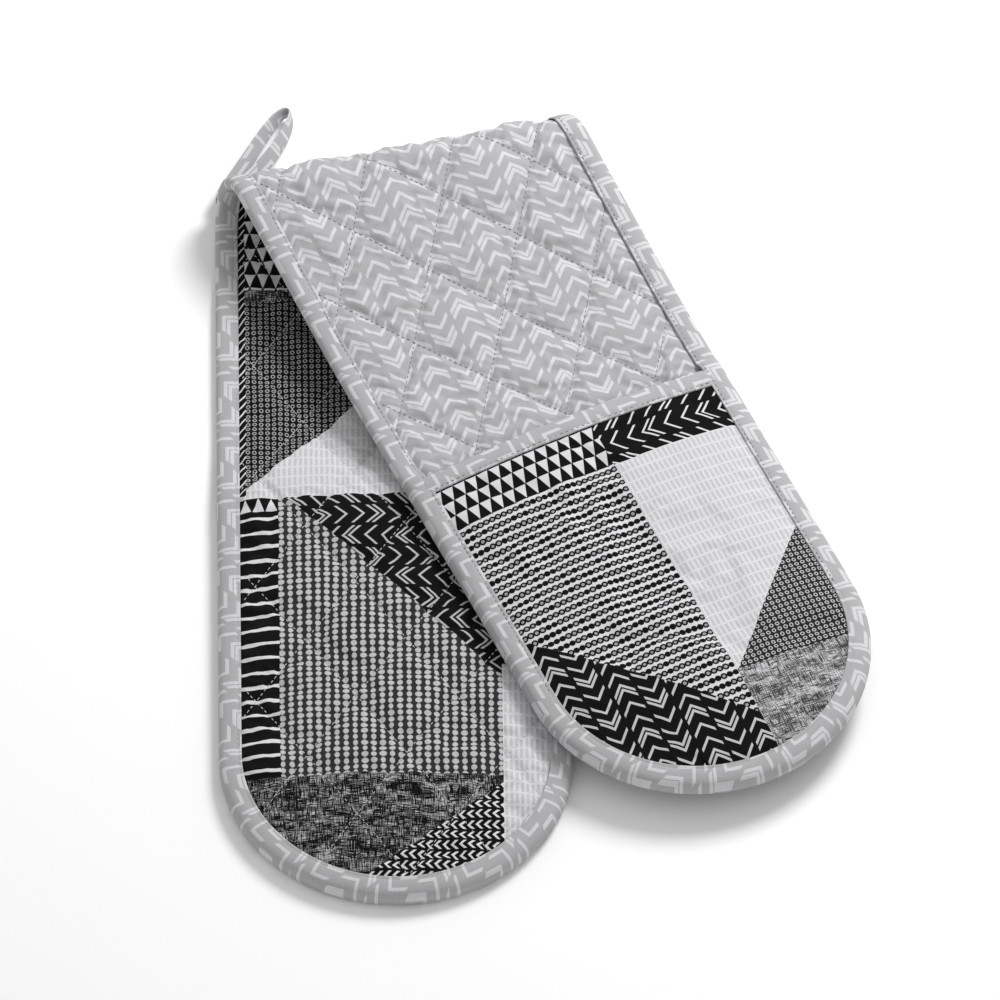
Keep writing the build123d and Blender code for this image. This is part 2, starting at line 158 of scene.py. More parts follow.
def from_centre(t, s):
    """Distance of flat points from the strip's centre line, which ends at the tips' centres."""
    return np.hypot(t, np.maximum(np.abs(s) - TIP_CENTRE, 0))


def crown(t, s):
    """Height of the hand room over the strip."""
    across = np.minimum(from_centre(t, s), CROWN_REACH)
    radius = (CROWN_REACH**2 + CROWN**2) / (2 * CROWN)
    return CROWN - radius + np.sqrt(radius**2 - across**2)


def pocket_depth(t, s):
    """How far the pocket's outer face stands out from the grey face, 0 beyond its mouth."""
    return (POCKET + crown(t, s)) * smooth(np.abs(s), MOUTH - 9 * MM, MOUTH - 1 * MM)


def lay(t, s, d):
    """Points of the flat strip, folded and laid down, in the frame."""
    t, s, d = np.broadcast_arrays(t, s, d)
    travelled = -math.sin(SKEW) * t + math.cos(SKEW) * (s - FOLD_OFFSET)
    beside = math.cos(SKEW) * t + math.sin(SKEW) * (s - FOLD_OFFSET)
    near_start = MID_RADIUS * (math.pi / 2 + NEAR_SLOPE)
    ease_start = near_start + NEAR_LENGTH
    far_start = ease_start + EASE_LENGTH
    near, far = math.pi + NEAR_SLOPE, math.pi + FAR_SLOPE

    # the bend over the fold line
    turned = np.clip((travelled + QUARTER) / MID_RADIUS, 0, near)
    out = (FOLD_RADIUS - d) * np.sin(turned)
    up = FOLD_HEIGHT - (FOLD_RADIUS - d) * np.cos(turned)

    # the straight stretch down from the fold
    side = (math.sin(near), -math.cos(near))
    foot = (FOLD_RADIUS * side[0], FOLD_HEIGHT + FOLD_RADIUS * side[1])
    run = np.clip(travelled - near_start, 0, NEAR_LENGTH)
    after = travelled > near_start
    out = np.where(after, foot[0] + run * math.cos(near) - d * side[0], out)
    up = np.where(after, foot[1] + run * math.sin(near) - d * side[1], up)

    # where it eases
    inner = EASE_LENGTH / (NEAR_SLOPE - FAR_SLOPE) - BODY / 2
    centre = (
        foot[0] + NEAR_LENGTH * math.cos(near) + inner * side[0],
        foot[1] + NEAR_LENGTH * math.sin(near) + inner * side[1],
    )
    share = np.clip((travelled - ease_start) / EASE_LENGTH, 0, 1)
    heading = near - (NEAR_SLOPE - FAR_SLOPE) * share
    after = travelled > ease_start
    out = np.where(after, centre[0] - (inner + d) * np.sin(heading), out)
    up = np.where(after, centre[1] + (inner + d) * np.cos(heading), up)

    # and the far stretch
    side = (math.sin(far), -math.cos(far))
    run = travelled - far_start
    after = run > 0
    out = np.where(after, centre[0] - (inner + d) * side[0] + run * math.cos(far), out)
    up = np.where(after, centre[1] - (inner + d) * side[1] + run * math.sin(far), up)

    bent = (out - QUARTER)[..., None] * AWAY + beside[..., None] * ALONG
    bent = bent + np.stack([0 * up, 0 * up + FOLD_OFFSET, up], -1)
    lift = (POCKET + crown(t, s)) * smooth(-s, RAMP_END, MOUTH)
    height = TAPE + d + lift
    flat = np.stack([t, s, np.where(height < 0, PRESSED * height, height)], -1)
    return np.where((travelled <= -QUARTER)[..., None], flat, bent) + MIDDLE


# ---- flat grids ----
def arm_grid(side, start, reach, pitch=GRID):
    """Flat grid of one arm, from a distance along it to round its tip."""
    columns = 2 * math.ceil(reach / pitch) + 1
    across = np.linspace(-1, 1, columns)
    straight = np.linspace(start, TIP_CENTRE, math.ceil((TIP_CENTRE - start) / pitch) + 1)
    t_rows = [np.tile(across * reach, (len(straight), 1))]
    s_rows = [np.tile(straight[:, None], (1, columns))]
    rise = np.linspace(0, 1, math.ceil(0.85 * reach / pitch) + 1)[1:, None]
    t_rows.append(reach * across * np.sqrt(1 - rise**2 / 2))
    s_rows.append(TIP_CENTRE + reach * rise * np.sqrt(1 - across**2 / 2))
    return np.concatenate(t_rows), side * np.concatenate(s_rows)


def strip_grid(reach):
    """Flat grid of the whole strip, its rows from the lower tip to the upper one."""
    lower_t, lower_s = arm_grid(-1, 0, reach)
    upper_t, upper_s = arm_grid(1, 0, reach)
    return np.concatenate([lower_t[:0:-1], upper_t]), np.concatenate([lower_s[:0:-1], upper_s])


def doubled(grid):
    """The grid with a point added between each two, on a smooth curve through four."""
    for axis in (0, 1):
        grid = np.moveaxis(grid, axis, 0)
        before = np.concatenate([2 * grid[:1] - grid[1:2], grid[:-1]])
        after = np.concatenate([grid[1:], 2 * grid[-1:] - grid[-2:-1]])
        between = (9 * (grid[:-1] + grid[1:]) - before[:-1] - after[1:]) / 16
        finer = np.empty((2 * len(grid) - 1, *grid.shape[1:]))
        finer[::2] = grid
        finer[1::2] = between
        grid = np.moveaxis(finer, 0, axis)
    return grid


def from_quilting(t, s):
    """Distance of flat points from the nearest quilting line."""
    nearest = np.full(np.shape(t), np.inf)
    for slant in (-QUILT_ANGLE, QUILT_ANGLE):
        off = (t - QUILT_CROSSING[0]) * math.cos(slant) + (s - QUILT_CROSSING[1]) * math.sin(slant)
        off = np.abs(off - np.round(off / QUILT_PITCH) * QUILT_PITCH)
        nearest = np.minimum(nearest, off)
    return nearest


def from_edge_seam(t, s):
    return np.abs(EDGE_SEAM - from_centre(t, s))


def clear_of_binding(t, s):
    """0 under the edge binding, 1 well inside it."""
    return 1 - smooth(from_centre(t, s), EDGE_SEAM - 4 * MM, EDGE_SEAM - 1 * MM)


def puffed(t, s, away, puff, seed):
    """Height of padded cloth over its face, from its distance to the nearest sewn line."""
    rise = 1 - np.exp(-away / SOFT_EDGE)
    pucker = noise(t + 0.4 * s, s, PUCKER_SIZE, seed) * np.exp(-away / (5 * MM))
    pucker = pucker * smooth(away, 0, 3 * MM)
    lumps = noise(t, s, LUMP_SIZE, seed + 1) * smooth(away, 2 * MM, 12 * MM)
    return -GROOVE + puff * rise + PUCKER * pucker + LUMP * lumps


# ---- cloth simulation, on the flat strip ----
def set_up_cloth(modifier, pressure, growth):
    """Padded cotton, a little larger than its place, with pressure behind it and no weight."""
    settings = modifier.settings
    settings.quality = 4
    settings.mass = 0.2
    settings.tension_stiffness = 25
    settings.compression_stiffness = 25
    settings.shear_stiffness = 8
    settings.bending_stiffness = 0.4
    settings.vertex_group_mass = "sewn"
    settings.shrink_min = -growth
    settings.use_pressure = True
    settings.uniform_pressure_force = pressure
    settings.effector_weights.gravity = 0
    modifier.collision_settings.use_collision = False
    modifier.point_cache.frame_start = 1
    modifier.point_cache.frame_end = SIM_FRAMES


def sewn_cloth(name, points, away, forces, free):
    """Padded cloth held along its sewn lines and pushed out by the wadding, as simulated points.
    forces is COVER_SIM or POCKET_SIM. free is 0 where a binding keeps the cloth flat."""
    pressure, growth, most = forces
    rows, columns = points.shape[:2]
    mesh = bpy.data.meshes.new(name)
    mesh.from_pydata(points.reshape(-1, 3).tolist(), [], grid_faces(rows, columns))
    cloth = bpy.data.objects.new(name, mesh)
    bpy.context.scene.collection.objects.link(cloth)
    held = np.exp(-((away / (1.6 * MM)) ** 2)).ravel()
    group = cloth.vertex_groups.new(name="sewn")
    for index in np.nonzero(held > 0.02)[0]:
        group.add([int(index)], float(held[index]), "REPLACE")
    set_up_cloth(cloth.modifiers.new("cloth", "CLOTH"), pressure, growth)
    for number in range(1, SIM_FRAMES + 1):
        bpy.context.scene.frame_set(number)
    result = cloth.evaluated_get(bpy.context.evaluated_depsgraph_get()).to_mesh()
    moved = np.zeros(rows * columns * 3, np.float32)
    result.vertices.foreach_get("co", moved)
    moved = moved.reshape(rows, columns, 3).astype(float)
    bpy.data.objects.remove(cloth)
    bpy.context.scene.frame_set(1)
    return points + np.clip(moved - points, -most, most) * free[..., None]


# ---- meshes ----
def grid_faces(rows, columns, closed=False):
    """Quads of a grid of points, with its last column joined to its first if it is closed."""
    first = np.arange(rows - 1)[:, None] * columns
    here = np.arange(columns if closed else columns - 1)
    there = (here + 1) % columns
    corners = [first + here, first + there, first + columns + there, first + columns + here]
    return np.stack(corners, -1).reshape(-1, 4).tolist()


def grid_normals(points):
    along = np.gradient(points, axis=0)
    across = np.gradient(points, axis=1)
    normal = np.cross(across, along)
    return normal / np.maximum(np.linalg.norm(normal, axis=-1, keepdims=True), 1e-12)


def new_piece(name, points, faces, uv, material, normals=None):
    """A mesh object with a UV for each point, smooth, with the normals it is given."""
    mesh = bpy.data.meshes.new(name)
    mesh.from_pydata(points.reshape(-1, 3).tolist(), [], faces)
    layer = mesh.uv_layers.new(name="flat")
    corner = np.zeros(len(mesh.loops), np.int32)
    mesh.loops.foreach_get("vertex_index", corner)
    layer.data.foreach_set("uv", uv.reshape(-1, 2)[corner].astype(np.float32).ravel())
    mesh.polygons.foreach_set("use_smooth", np.ones(len(mesh.polygons), bool))
    mesh.materials.append(material)
    if normals is not None:
        mesh.normals_split_custom_set_from_vertices(normals.reshape(-1, 3).tolist())
    mesh.update()
    piece = bpy.data.objects.new(name, mesh)
    bpy.context.scene.collection.objects.link(piece)
    return piece


def follow(piece, part):
    """Makes a piece go with the lower or the upper arm; a piece of the fold only has its place baked
    into its mesh.
    """
    if part == "fold":
        start = np.array(hinge["pos_m"])
        low, high = start.copy(), start.copy()
        low[2], high[2] = BEND_LOW, BEND_HIGH
        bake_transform(piece)
    else:
        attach(piece, part + "_arm")


def stand_in(piece, part, nodes):
    """Makes a piece go with its arm, or stay where it lies over the fold, and take the place of that
    part's CAD nodes.
    """
    follow(piece, part)
    arms = ("lower", "upper") if part == "fold" else (part,)
    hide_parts(*[f"{arm}_{node}" for arm in arms for node in nodes])


# ---- covers of the long strip ----
def parts_of_rows(rows_s):
    """The rows of the strip's grid that belong to each part. Neighbours share a row."""
    middle = rows_s[:, rows_s.shape[1] // 2]
    low = int(np.argmin(np.abs(middle - FOLD_START)))
    high = int(np.argmin(np.abs(middle - FOLD_END)))
    return {"lower": slice(0, low + 1), "fold": slice(low, high + 1), "upper": slice(high, None)}


def strip_cover(face, puff, seed, material, nodes):
    """One cloth face of the quilted strip, in three pieces: both arms and the fold. Gives back the
    flat cloth as a tree, for the stitches on it."""
    t, s = strip_grid(COVER_REACH)
    away = np.minimum(from_quilting(t, s), from_edge_seam(t, s))
    points = np.stack([t, s, puffed(t, s, away, puff, seed)], -1)
    points = sewn_cloth(face, points, away, COVER_SIM, clear_of_binding(t, s))
    fine = doubled(points)
    d = -fine[..., 2] if face == "grey" else BODY + fine[..., 2]
    laid = lay(fine[..., 0], fine[..., 1], d)
    outward = grid_normals(laid) if face == "print" else -grid_normals(laid)
    uv = doubled(np.stack([t, s], -1))
    for part, rows in parts_of_rows(uv[..., 1]).items():
        faces = grid_faces(*laid[rows].shape[:2])
        if face == "grey":
            faces = [corners[::-1] for corners in faces]
        piece = new_piece(f"{part}_{face}_cover", laid[rows], faces, uv[rows], material, outward[rows])
        stand_in(piece, part, nodes)
        declare_sheet(uv[rows])
    return BVHTree.FromPolygons(fine.reshape(-1, 3).tolist(), grid_faces(*fine.shape[:2]))


def declare_sheet(flat):
    """Works out how large the cloth was cut and its area, from its flat points, and keeps neither."""
    size = flat.reshape(-1, 2).max(0) - flat.reshape(-1, 2).min(0)
    first = flat[:-1, :-1]
    along = flat[1:, :-1] - first
    across = flat[:-1, 1:] - first
    area = float(np.abs(along[..., 0] * across[..., 1] - along[..., 1] * across[..., 0]).sum())
    area = min(area, float(size[0] * size[1]))


# ---- pockets ----
def pocket_cover(arm, side, face, material, nodes):
    """The pocket's printed outer cloth, or its lining, from its mouth round the tip."""
    t, s = arm_grid(side, MOUTH, COVER_REACH)
    away = np.minimum(from_edge_seam(t, s), np.abs(np.abs(s) - MOUTH - TAPE_WIDTH + 2 * MM))
    slack = smooth(away, 0, 30 * MM)
    height = -0.4 * MM + POCKET_PUFF * (1 - np.exp(-away / (9 * MM)))
    height += slack * (0.5 * noise(t, s, 23 * MM, seed=7) + 0.25 * noise(t, s, 9 * MM, seed=8)) * MM
    if face == "lining":
        height = 0 * height
    points = np.stack([t, s, height], -1)
    if face == "face":
        clear = clear_of_binding(t, s) * smooth(np.abs(s), MOUTH + 8 * MM, MOUTH + 14 * MM)
        points = sewn_cloth(arm + "_pocket", points, away, POCKET_SIM, clear)
    fine = doubled(points)
    uv = doubled(np.stack([t, s], -1))
    depth = POCKET + fine[..., 2] if face == "face" else 0 * fine[..., 2]
    laid = lay(fine[..., 0], fine[..., 1], -depth - crown(fine[..., 0], fine[..., 1]))
    normals = grid_normals(laid)
    faces = grid_faces(*laid.shape[:2])
    piece = new_piece(f"{arm}_pocket_{face}_cover", laid, faces, uv, material, normals)
    stand_in(piece, arm, nodes)
    declare_sheet(uv)


# ---- binding tape ----
def tape_profile():
    """Section of a binding tape folded round an edge: distance from the edge, which face (-1 to 1) and
    how far the tape stands off its nominal face. It dips along its stitch line."""
    top = [(11.0, -0.95), (10.95, -0.5), (10.6, -0.18), (10.0, -0.12), (9.4, -0.42)]
    top += [(8.8, -0.16), (8.0, 0.02), (6.8, 0.1), (5.4, 0.1), (4.2, 0.0)]
    turn = [math.radians(angle) for angle in (20, 38, 54, 68, 80)]
    half = [(distance, 1.0, lift) for distance, lift in top]
    half += [(3.6 * (1 - math.sin(angle)), math.cos(angle), 0.0) for angle in turn]
    other = [(distance, -face, lift) for distance, face, lift in half[::-1]]
    return np.array(half + [(0.0, 0.0, 0.0)] + other) * [MM, 1.0, MM]


def band(name, edge_t, edge_s, in_t, in_s, along, faces_at, material):
    """Binding tape swept along an edge. faces_at gives the depths of its two faces at flat points."""
    profile = tape_profile()
    distance = profile[:, 0]
    t = edge_t[:, None] + in_t[:, None] * distance
    s = edge_s[:, None] + in_s[:, None] * distance
    low, high = faces_at(t, s)
    reach = distance / TAPE_WIDTH
    wrinkle = noise(along[:, None] + 0 * distance, distance + 0 * along[:, None], 5 * MM, seed=21)
    wrinkle = wrinkle * TAPE_WRINKLE * smooth(reach, 0.1, 0.5) * (1 - smooth(reach, 0.8, 1.0))
    middle = (low + high) / 2
    half = (high - low) / 2
    lift = profile[:, 2] + wrinkle
    d = middle + profile[:, 1] * half + np.sign(profile[:, 1]) * lift
    laid = lay(t, s, d)
    across = distance * np.where(profile[:, 1] < 0, -1, 1)
    uv = np.stack([np.tile(across, (len(along), 1)), np.tile(along[:, None], (1, len(distance)))], -1)
    rows, columns = t.shape
    return new_piece(name, laid, grid_faces(rows, columns), uv, material)


def edge_faces(t, s):
    """Depths of the edge binding's two faces."""
    return -pocket_depth(t, s) - TAPE, BODY + TAPE + 0 * t


def arm_edge(side, start, pitch=2.5 * MM):
    """The arm's edge line from the fold's left, round the tip and back: its points, the direction
    inward from it, and the distance along it."""
    straight = np.linspace(abs(start), TIP_CENTRE, math.ceil((TIP_CENTRE - abs(start)) / pitch) + 1)
    arc = np.linspace(0, math.pi, 108)[1:-1]
    t = np.concatenate([0 * straight - TIP_RADIUS, -TIP_RADIUS * np.cos(arc), 0 * straight + TIP_RADIUS])
    s = np.concatenate([straight, TIP_CENTRE + TIP_RADIUS * np.sin(arc), straight[::-1]])
    in_t = np.concatenate([0 * straight + 1, np.cos(arc), 0 * straight - 1])
    in_s = np.concatenate([0 * straight, -np.sin(arc), 0 * straight])
    along = np.concatenate([[0], np.cumsum(np.hypot(np.diff(t), np.diff(s)))]) + abs(start)
    return t, side * s, in_t, side * in_s, side * along


def edge_bindings(material):
    """Binding tape round both arms, and over both ends of the fold."""
    for arm, side, start in (("lower", -1, FOLD_START), ("upper", 1, FOLD_END)):
        path = arm_edge(side, start)
        piece = band(arm + "_edge_tape", *path, edge_faces, material)
        finish_tape(piece, arm, "edge_binding")
    s = np.linspace(FOLD_START, FOLD_END, 61)
    arm_length = 2 * TIP_CENTRE + math.pi * TIP_RADIUS
    for name, side in (("left", -1), ("right", 1)):
        along = s if side < 0 else arm_length - s
        path = (0 * s + side * TIP_RADIUS, s, 0 * s - side, 0 * s, along)
        piece = band(f"fold_{name}_edge_tape", *path, edge_faces, material)
        finish_tape(piece, "fold", "edge_binding")


def mouth_binding(arm, side, material):
    """Binding tape over the pocket's mouth."""
    t = np.linspace(-1, 1, 81) * (TIP_RADIUS - 8.5 * MM)

    def faces_at(flat_t, flat_s):
        return -POCKET - TAPE - crown(flat_t, flat_s), TAPE - crown(flat_t, flat_s)

    s = 0 * t + side * (MOUTH - TAPE)
    piece = band(arm + "_mouth_tape", t, s, 0 * t, 0 * t + side, t, faces_at, material)
    finish_tape(piece, arm, "pocket_binding")


def finish_tape(piece, part, node):
    """Makes a binding tape go with its part, in place of that part's CAD node."""
    stand_in(piece, part, [node])


# ---- stitches ----
def part_at(flat):
    if FOLD_START < flat[1] < FOLD_END:
        return "fold"
    return "upper" if flat[1] > 0 else "lower"


# a stitch's section, and at five places along it: where, how deep it sinks and how thick it is
STITCH_RING = [(math.cos(angle), math.sin(angle)) for angle in np.radians([45, 135, 225, 315])]
STITCH_SHARES = np.array([-0.5, -0.36, 0.0, 0.36, 0.5])
STITCH_SINKS = np.array([0.55, 0.05, -0.12, 0.05, 0.55]) * MM
STITCH_RADII = np.array([0.35, 1.0, 1.1, 1.0, 0.35]) * THREAD / 2


def one_stitch(flat, d, outward, sideways):
    """Points of one stitch: a ring round each of its flat points, at depth d."""
    rows = []
    for point, depth, sink, radius in zip(flat, d, STITCH_SINKS, STITCH_RADII):
        for a, b in STITCH_RING:
            spot = point + sideways * radius * a
            rows.append((spot[0], spot[1], depth + outward * (radius * b - sink)))
    return rows


def stitches(name, lines, height_at, material, node):
    """Thread that shows between needle holes, along flat lines, in one piece for each part."""
    made = {}
    for start, end in lines:
        start, end = np.array(start), np.array(end)
        length = np.linalg.norm(end - start)
        forward = (end - start) / max(length, 1e-9)
        sideways = np.array([-forward[1], forward[0]])
        for index in range(int(length / STITCH_PITCH)):
            middle = start + forward * (index + 0.5) * STITCH_PITCH
            flat = middle + np.outer(STITCH_SHARES * STITCH, forward)
            d, outward = height_at(flat)
            if d is not None:
                made.setdefault(part_at(middle), []).append(one_stitch(flat, d, outward, sideways))
    sides = grid_faces(len(STITCH_SHARES), len(STITCH_RING), closed=True)
    quads = [corners[::-1] for corners in sides]
    ends = [[3, 2, 1, 0], [16, 17, 18, 19]]
    for part, chains in made.items():
        flat = np.array(chains)
        laid = lay(flat[..., 0], flat[..., 1], flat[..., 2])
        first = np.arange(len(flat))[:, None, None] * flat.shape[1]
        faces = (np.array(quads + ends)[None] + first).reshape(-1, 4)
        piece = new_piece(f"{part}_{name}", laid, faces.tolist(), flat[..., :2].copy(), material)
        stand_in(piece, part, [node])


def quilting_lines(limit):
    """Quilting lines clipped to the cloth between the bindings, up to a distance from the middle."""
    lines = []
    for slant in (-QUILT_ANGLE, QUILT_ANGLE):
        normal = np.array([math.cos(slant), math.sin(slant)])
        forward = np.array([-normal[1], normal[0]])
        for index in range(-22, 23):
            foot = np.array(QUILT_CROSSING) + normal * index * QUILT_PITCH
            foot = foot - forward * (foot @ forward)
            spread = np.arange(-0.9, 0.9, STITCH_PITCH)
            flat = foot + np.outer(spread, forward)
            inside = from_centre(flat[:, 0], flat[:, 1]) < TIP_RADIUS - TAPE_WIDTH
            inside &= np.abs(flat[:, 1]) < limit
            if inside.sum() > 2:
                kept = flat[inside]
                lines.append((kept[0], kept[-1]))
    return lines


def on_cover(tree, face):
    """Height of the simulated cloth under flat points, for the stitches on it."""

    def height_at(flat):
        heights = []
        for t, s in flat:
            hit = tree.ray_cast(Vector((t, s, 20 * MM)), Vector((0, 0, -1)))[0]
            if hit is None:
                return None, 0
            heights.append(hit.z)
        heights = np.array(heights)
        return (-heights, -1) if face == "grey" else (BODY + heights, 1)

    return height_at


def edge_lines():
    """The edge binding's stitch line as short straight runs, round the whole strip."""
    lines = []
    distance = TIP_RADIUS - TAPE_SEAM
    for side in (-1, 1):
        for edge in (-1, 1):
            lines.append(((edge * distance, 0), (edge * distance, side * TIP_CENTRE)))
        angles = np.linspace(0, math.pi, 93)
        t = distance * np.cos(angles)
        s = side * (TIP_CENTRE + distance * np.sin(angles))
        lines += [((t[i], s[i]), (t[i + 1], s[i + 1])) for i in range(len(t) - 1)]
    return lines


def sew(trees, grey_thread, pale_thread):
    """Every stitch that shows."""

    def over_tape(flat):
        return BODY + TAPE - SEAM_DIP + 0 * flat[:, 0], 1

    def under_tape(flat):
        return -pocket_depth(flat[:, 0], flat[:, 1]) - TAPE + SEAM_DIP, -1

    def mouth_tape(flat):
        return -POCKET - TAPE - crown(flat[:, 0], flat[:, 1]) + SEAM_DIP, -1

    to_the_mouth = quilting_lines(MOUTH - 2 * MM)
    to_the_tips = quilting_lines(TIP_CENTRE + TIP_RADIUS)
    on_grey = on_cover(trees["grey"], "grey")
    on_print = on_cover(trees["print"], "print")
    reach = TIP_RADIUS - TAPE_WIDTH
    distance = MOUTH - TAPE + TAPE_SEAM
    mouths = [((-reach, side * distance), (reach, side * distance)) for side in (-1, 1)]
    stitches("grey_quilting", to_the_mouth, on_grey, grey_thread, "quilting_thread")
    stitches("print_quilting", to_the_tips, on_print, pale_thread, "quilting_thread")
    stitches("print_edge_stitches", edge_lines(), over_tape, pale_thread, "edge_thread")
    stitches("grey_edge_stitches", edge_lines(), under_tape, grey_thread, "edge_thread")
    stitches("mouth_stitches", mouths, mouth_tape, grey_thread, "pocket_thread")


# ---- hanging loop ----
def loop_direction():
    """The loop's hinge and where it points at rest, towards the far corner of the CAD loop's box."""
    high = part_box("hanging_loop")[1]
    root = np.array(swing["pos_m"])
    far = np.array([high.x, high.y]) - root[:2]
    return root, far / np.linalg.norm(far)


def squared(values, power):
    """Values from -1 to 1, drawn towards their ends by a power below 1."""
    return np.sign(values) * np.abs(values) ** power


def loop_path():
    """The loop tape's middle line, a slender leaf bowed to one side: for each point the share of
    the way round, how far it reaches from the hinge, and the point."""
    root, forward = loop_direction()
    sideways = np.array([-forward[1], forward[0]])
    share = np.linspace(0, 1, 73)
    back_from_tip = np.abs(1 - 2 * share)
    reach = LOOP_LENGTH * (1 - back_from_tip**1.6)
    swell = LOOP_HALF_WIDTH * np.maximum(np.sin(math.pi * back_from_tip**0.9), 0) ** 0.8
    off = np.where(share < 0.5, swell, -0.8 * swell) + LOOP_HEEL * np.cos(share * math.pi)
    off = off - LOOP_BOW * np.sin(reach / LOOP_LENGTH * math.pi)
    x = root[0] + forward[0] * reach + sideways[0] * off
    y = root[1] + forward[1] * reach + sideways[1] * off
    z = root[2] + 1.0 * MM * np.sin(share * math.pi * 3)
    return share, reach, np.stack([x, y, z], -1)


def hanging_loop(material):
    """Narrow doubled tape, on edge at its hinge and leaning out from there on. Its mesh is open
    along its lower edge, by a slit of no width."""
    share, reach, middle = loop_path()
    tangent = np.gradient(middle, axis=0)
    tangent /= np.linalg.norm(tangent, axis=1, keepdims=True)
    lean = -LOOP_LEAN * np.cos(share * math.pi) * (1 - 0.95 * np.exp(-reach / LOOP_ON_EDGE))
    upright = np.array([0, 0, 1.0]) - tangent * tangent[:, 2:]
    upright /= np.linalg.norm(upright, axis=1, keepdims=True)
    outward = np.cross(tangent, upright)
    high = upright * np.cos(lean)[:, None] + outward * np.sin(lean)[:, None]
    wide = outward * np.cos(lean)[:, None] - upright * np.sin(lean)[:, None]
    angles = np.linspace(-math.pi / 2, 3 * math.pi / 2, 25)
    a = squared(np.sin(angles), 0.55) * LOOP_TAPE_WIDTH / 2
    b = squared(np.cos(angles), 0.8) * LOOP_TAPE / 2
    points = middle[:, None] + high[:, None] * a[None, :, None] + wide[:, None] * b[None, :, None]
    along = np.concatenate([[0], np.cumsum(np.linalg.norm(np.diff(middle, axis=0), axis=1))])
    uv = np.stack([np.tile(a, (len(share), 1)), np.tile(along[:, None], (1, len(a)))], -1)
    piece = new_piece("hanging_loop_tape", points, grid_faces(len(share), len(a)), uv, material)
    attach(piece, "hanging_loop")
    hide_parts("hanging_loop")


def loop_root(material, thread):
    """The loop's sewn ends, from behind its hinge into the binding, pinched by the bar tack."""
    low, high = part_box("loop_root")
    root = np.array(swing["pos_m"])
    back = -AWAY
    start = root + back * ROOT_CLEARANCE
    length = float(np.linalg.norm(np.array(high - low)[:2])) - ROOT_CLEARANCE
    share = np.linspace(0, 1, 15)
    angles = np.linspace(0, 2 * math.pi, 25)[:-1]
    a = squared(np.sin(angles), 0.5) * LOOP_TAPE_WIDTH / 2
    b = squared(np.cos(angles), 0.6) * 1.5 * LOOP_TAPE
    middle = start + np.outer(share * length, back)
    pinch = 0.6 + 0.4 * smooth(share, 0, 0.35) - 0.2 * np.exp(-(((share - 0.5) / 0.1) ** 2))
    sideways = np.array([-back[1], back[0], 0])
    tall = 1 - 0.5 * share
    points = middle[:, None] + np.array([0, 0, 1.0]) * (a[None, :] * tall[:, None])[..., None]
    points = points + sideways * (b[None, :] * pinch[:, None])[..., None]
    uv = np.stack([np.tile(a, (len(share), 1)), np.tile((share * length)[:, None], (1, len(a)))], -1)
    faces = grid_faces(len(share), len(a), closed=True)
    piece = new_piece("loop_root_tape", points, faces, uv, material)
    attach(piece, "lower_arm")
    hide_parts("loop_root")
    bar_tack(start, back, length, sideways, thread)


def bar_tack(start, back, length, sideways, thread):
    """Rounds of thread over the loop's root."""
    rounds = []
    for index in range(TACK_ROUNDS):
        place = 0.42 + 0.035 * index
        at = start + back * length * place
        turn = np.linspace(0, 2 * math.pi, 25)[:-1]
        up = np.sin(turn) * (LOOP_TAPE_WIDTH / 2 * (1 - 0.5 * place) + 0.1 * MM)
        out = np.cos(turn) * (1.15 * LOOP_TAPE + 0.1 * MM)
        ringed = at + np.outer(up, [0, 0, 1.0]) + np.outer(out, sideways)
        rounds.append(tube(ringed, THREAD / 2))
    points = np.concatenate([ring_points for ring_points, ring_faces in rounds])
    faces = []
    for number, (ring_points, ring_faces) in enumerate(rounds):
        faces += (np.array(ring_faces) + number * len(ring_points)).tolist()
    piece = new_piece("loop_bar_tack_thread", points, faces, points[:, :2].copy(), thread)
    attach(piece, "lower_arm")
    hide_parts("loop_bar_tack")


def tube(line, radius):
    """A closed ring of thread round a line."""
    centre = line.mean(0)
    ahead = np.roll(line, -1, 0) - np.roll(line, 1, 0)
    ahead /= np.linalg.norm(ahead, axis=1, keepdims=True)
    outward = line - centre
    outward /= np.linalg.norm(outward, axis=1, keepdims=True)
    other = np.cross(ahead, outward)
    angles = np.linspace(0, 2 * math.pi, 7)[:-1]
    spokes = outward[:, None] * np.cos(angles)[None, :, None]
    spokes = spokes + other[:, None] * np.sin(angles)[None, :, None]
    points = line[:, None] + radius * spokes
    rows = np.concatenate([points, points[:1]])
    faces = np.array(grid_faces(len(rows), len(angles), closed=True)) % (len(line) * len(angles))
    return points.reshape(-1, 3), faces.tolist()


# ---- materials ----
SOFT = 0.16  # millimetres over which a printed brightness turns into the next


class Field:
    """A number that varies over a material, written as arithmetic on shader nodes."""

    def __init__(self, tree, socket):
        self.tree = tree
        self.socket = socket

    def math(self, operation, *others, clamp=False):
        node = self.tree.nodes.new("ShaderNodeMath")
        node.operation = operation
        node.use_clamp = clamp
        for socket, value in zip(node.inputs, (self, *others)):
            if isinstance(value, Field):
                self.tree.links.new(value.socket, socket)
            else:
                socket.default_value = value
        return Field(self.tree, node.outputs[0])

    def __add__(self, other):
        return self.math("ADD", other)

    def __sub__(self, other):
        return self.math("SUBTRACT", other)

    def __mul__(self, other):
        return self.math("MULTIPLY", other)

    def fract(self):
        return self.math("FRACT")

    def floor(self):
        return self.math("FLOOR")

    def abs(self):
        return self.math("ABSOLUTE")

    def below(self, edge, soft=SOFT):
        """1 where it is below an edge, 0 above, with a soft border of that width."""
        if isinstance(edge, Field):
            return (self - edge).below(0.0, soft)
        return self.math("MULTIPLY_ADD", -1 / soft, edge / soft + 0.5, clamp=True)

    def both(self, other):
        return self.math("MULTIPLY", other)

    def either(self, other):
        return self.math("MAXIMUM", other)

    def mix(self, other, share):
        """This value where share is 0, the other one where it is 1."""
        return self + (other_field(self, other) - self) * share


def other_field(field, value):
    """The value as a field, on the same nodes as another field."""
    if isinstance(value, Field):
        return value
    return (field * 0.0) + value


